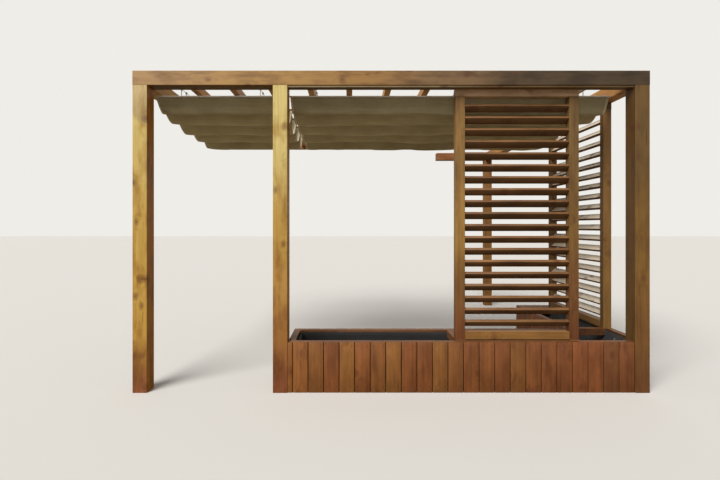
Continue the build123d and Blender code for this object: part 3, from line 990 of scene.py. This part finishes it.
def awning(name, light, dark, soak=0.0):
    material, tree, shader = new_material(name)
    spot = add(tree, "ShaderNodeUVMap", uv_map="cloth")
    turns = scaled(tree, spot, 2 * math.pi / YARN)
    crossing = add(tree, "ShaderNodeSeparateXYZ", [turns])
    warp = calc(tree, "SINE", crossing.outputs["X"])
    weft = calc(tree, "SINE", crossing.outputs["Y"])
    weave = calc(tree, "MULTIPLY", warp, weft)

    # Slubs, long thick yarns, and soft patches from the weather
    slub_place = vector(tree, "MULTIPLY", spot, (2.5, 160, 1))
    slub = add(tree, NOISE, {"Vector": slub_place, "Scale": 1, "Detail": 2})
    weather = add(tree, NOISE, {"Vector": spot, "Scale": 3.5, "Detail": 3, "Roughness": 0.6})
    tone = calc(tree, "MULTIPLY", slub, 0.5)
    tone = calc(tree, "MULTIPLY_ADD", weather, 0.7, tone)
    tone = calc(tree, "MULTIPLY_ADD", weave, 0.08, remap(tree, tone, 0.4, 0.8))
    base = mixed(tree, tone, colour(light), colour(dark))
    bump = add(tree, "ShaderNodeBump", {"Strength": 0.35, "Distance": 0.0005, "Height": weave})
    feed(tree, shader, {
        "Base Color": base, "Normal": bump, "Roughness": 0.88, "Specular IOR Level": 0.25,
        "Sheen Weight": 0.15, "Sheen Roughness": 0.5,
    })
    if soak:
        soaked = {"Subsurface Weight": 1, "Subsurface Radius": (1, 1, 1), "Subsurface Scale": soak}
        feed(tree, shader, soaked)
    return material


canopy_cloth = awning("spun acrylic awning cloth, olive taupe", "#ADA485", "#948A69", SOAK)
hem_cloth = awning("awning cloth hem, doubled", "#DCD3BA", "#BFB497", SOAK)

# %% [markdown]
# The canopies are cut and hung. Every rod but the front one slides in a pocket, a narrow strip of the
# same cloth that is folded over the rod and sewn to the pleat's fold. The pocket is left open where a
# strap comes up from the rod. The front rod is bare, because the cloth's front edge is fixed under it,
# and shows as a thin bright bar.

# %% Canopies with hems and rod pockets
POCKET_RADIUS = 0.0074
POCKET_TIP = 0.0085  # below the rod's middle, where the pocket is sewn to the fold
POCKET_SEAM = 0.0006  # half the gap between its two layers there
POCKET_MOUTH = 0.012  # left open either side of a strap
POCKET_SLACK = 0.0006
POCKET_THICK = 0.0008
POCKET_COLUMN = 0.04
ROD_RADIUS = 0.006
ARC_START, ARC_END, ARC_STEPS = -50, 230, 12  # degrees round the rod


def pocket_column(x, y, z, seed):
    """From the seam up round the rod and back down to the seam."""
    radius = POCKET_RADIUS + POCKET_SLACK * (1 + noise.noise((x * 9, y * 5, seed)))
    column = [Vector((x, y + POCKET_SEAM, z - POCKET_TIP))]
    for i in range(ARC_STEPS + 1):
        angle = math.radians(ARC_START + (ARC_END - ARC_START) * i / ARC_STEPS)
        column.append(Vector((x, y + radius * math.cos(angle), z + radius * math.sin(angle))))
    return column + [Vector((x, y - POCKET_SEAM, z - POCKET_TIP))]


def make_pockets(node, seed):
    low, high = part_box(node)
    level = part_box(f"{node}_rods")[0].z + ROD_RADIUS
    stops = [low.x]
    for strap in (low.x + WIRE_INSET, high.x - WIRE_INSET):
        stops += [strap - POCKET_MOUTH, strap + POCKET_MOUTH]
    stops.append(high.x)
    strips = []
    for place in ROD_PLACES[1:]:
        for start, end in zip(stops[::2], stops[1::2]):
            across = spread(start, end, POCKET_COLUMN)
            strips.append(([pocket_column(x, front_plane + place, level, seed) for x in across], across))
    return make_cloth(f"{node}_pockets", strips, POCKET_THICK, canopy_cloth)[0]


def make_canopy(side, seed, wave, pulls):
    """pulls are how far the left and the right edge of a belly draw in."""
    node = f"canopy_{side}"
    low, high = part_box(node)
    hung = (low, high, seed, wave, pulls)
    strip = cloth_strip(hung, low.x, high.x, COLUMN_WIDE)
    cloth, long = make_cloth(f"{node}_cloth", [strip], CLOTH_THICK, canopy_cloth)
    strips = [cloth_strip(hung, x, x + HEM_WIDE, HEM_WIDE / 4) for x in (low.x, high.x - HEM_WIDE)]
    hems, _ = make_cloth(f"{node}_hems", strips, HEM_THICK, hem_cloth)
    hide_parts(node)
    sewn_on = [hems, make_pockets(node, seed)]


make_canopy("left", 1.3, 0.06, (0.038, 0.016))
make_canopy("right", 8.6, 0.1, (0.012, 0.02))

# %% [markdown]
# The trough holds earth, and earth rots pine, so such planters are lined with a dark woven liner. It
# stands a little inside the studs and goes round the whole trough in one strip. It is what makes the
# joints between the boards look dark. The fabric is matt and dull, and it ripples where nothing presses
# on it.

# %% Planter liner
LINER_INSET = 0.066  # from the boards, so that it clears the studs
LINER_BELOW_RIM = 0.015
LINER_THICK = 0.0012
LINER_COLUMN = 0.025
LINER_ROW = 0.04
LINER_RIPPLE = 0.004
LINER_WAVES = 9  # ripples per metre
LINER_SEED = 5  # vectors of noise go by the clock without one


def liner_route():
    """The corners of the L-shaped trough's lining, once round."""
    floor_low, floor_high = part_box("planter_floor")
    post_low, post_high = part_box("post_front_right")
    left, right = floor_low.x + LINER_INSET, floor_high.x - LINER_INSET
    front, rear = floor_low.y + LINER_INSET, floor_high.y - LINER_INSET
    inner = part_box("planter_inner_boards")[1].x + LINER_INSET
    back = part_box("planter_back_boards")[0].y - LINER_INSET
    notch_x, notch_y = post_low.x - LINER_INSET, post_high.y + LINER_INSET
    corners = [
        (left, front), (notch_x, front), (notch_x, notch_y), (right, notch_y), (right, rear),
        (inner, rear), (inner, back), (left, back), (left, front),
    ]
    return [Vector((x, y, 0)) for x, y in corners]


def make_liner(weave):
    noise.seed_set(LINER_SEED)
    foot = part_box("planter_floor")[1].z + LINER_THICK
    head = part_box("planter_rails")[1].z - LINER_BELOW_RIM
    columns, across, gone = [], [], 0.0
    route = liner_route()
    for start, end in zip(route, route[1:]):
        side = end - start
        for far in spread(0, side.length, LINER_COLUMN)[:-1]:
            column = []
            for level in spread(foot, head, LINER_ROW):
                spot = start + side * (far / side.length)
                spot.z = level
                ripple = noise.noise_vector(spot * LINER_WAVES) * LINER_RIPPLE
                column.append(spot + Vector((ripple.x, ripple.y, 0)))
            columns.append(column)
            across.append(gone + far)
        gone += side.length
    columns.append(columns[0])
    across.append(gone)
    liner, high = make_cloth("planter_liner", [(columns, across)], LINER_THICK, weave)
    print("planter_liner is", round(gone, 3), "by", round(high, 3), "m flat")


make_liner(awning("woven polypropylene liner, black", "#2B2A28", "#1C1B1A"))
